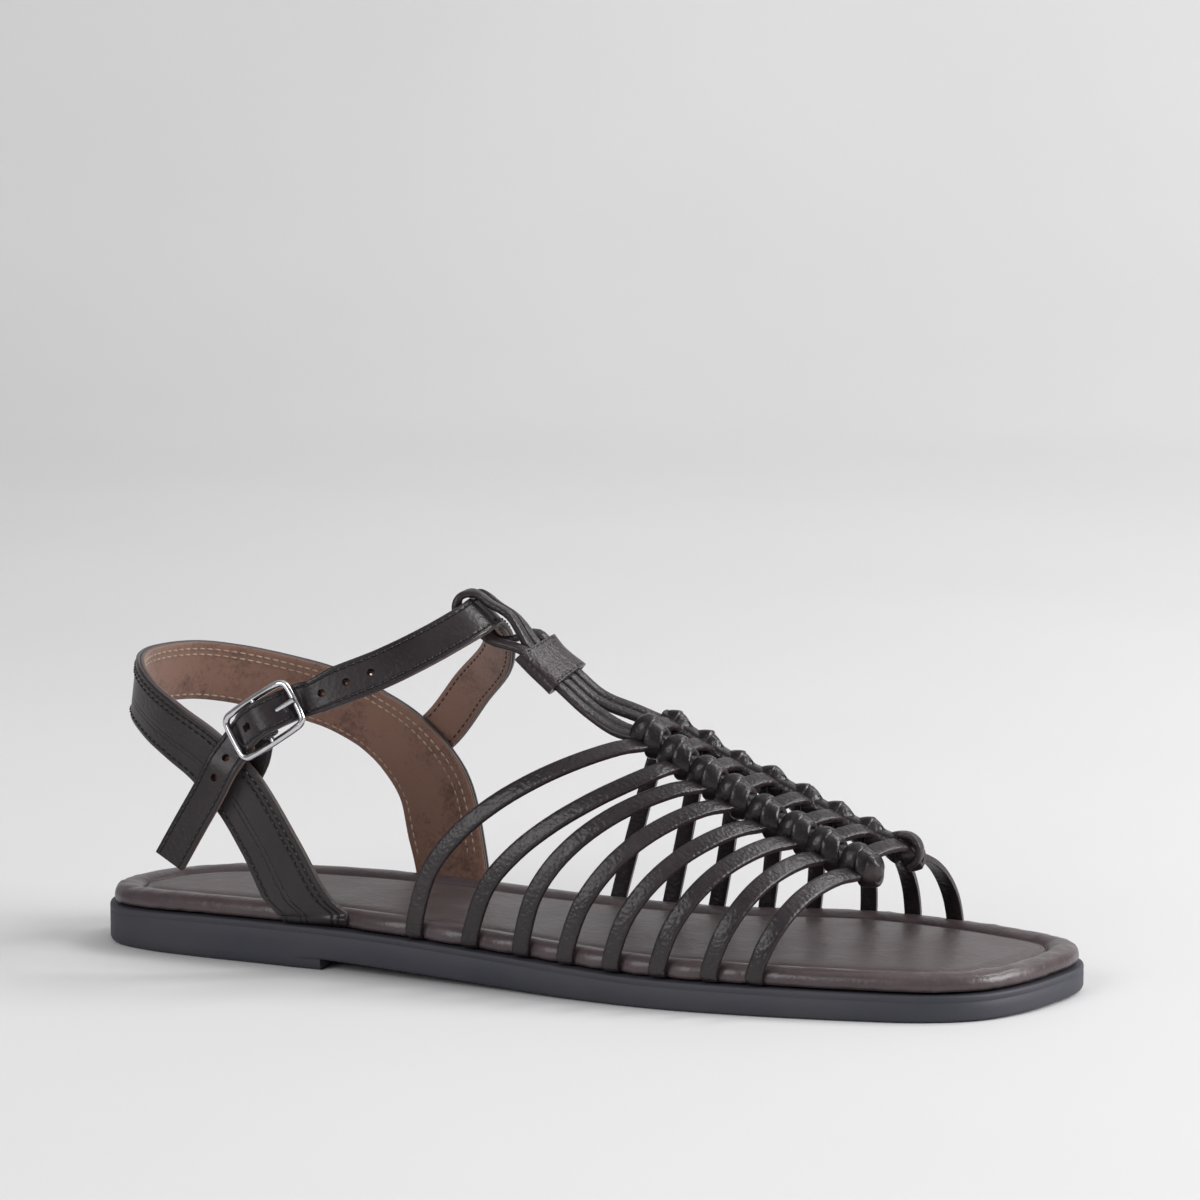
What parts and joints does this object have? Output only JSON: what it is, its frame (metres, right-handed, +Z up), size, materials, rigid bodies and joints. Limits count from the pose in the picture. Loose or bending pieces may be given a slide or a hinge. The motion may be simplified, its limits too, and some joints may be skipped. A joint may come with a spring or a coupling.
{
  "type": "flat sandal",
  "caption": "Flat strappy sandal for the right foot: knotted front straps, a T up the instep, a heel strap, a buckled ankle strap and a low rubber sole.",
  "frame": {"origin": "on the ground, midway along and across the shoe", "axes": "+X from the heel to the toe, +Y to the medial side, +Z up"},
  "size_m": [0.255, 0.0858, 0.0949],
  "materials": {
    "outsole": "matte moulded",
    "footbed_rim": "satin, padded",
    "insole": "satin, padded",
    "upper": "satin",
    "keeper": "satin",
    "quarter": "satin",
    "ankle_strap": "satin",
    "buckle_frame": "polished",
    "buckle_prong": "polished",
    "buckle_chape": "satin"
  },
  "bodies": {
    "root": {"outsole": "outsole", "footbed_rim": "footbed_rim", "insole": "insole", "upper": "upper", "keeper": "keeper", "quarter": "quarter", "ankle_strap": "ankle_strap", "buckle_frame": "buckle_frame", "buckle_prong": "buckle_prong", "buckle_chape": "buckle_chape"}
  },
  "joints": []
}
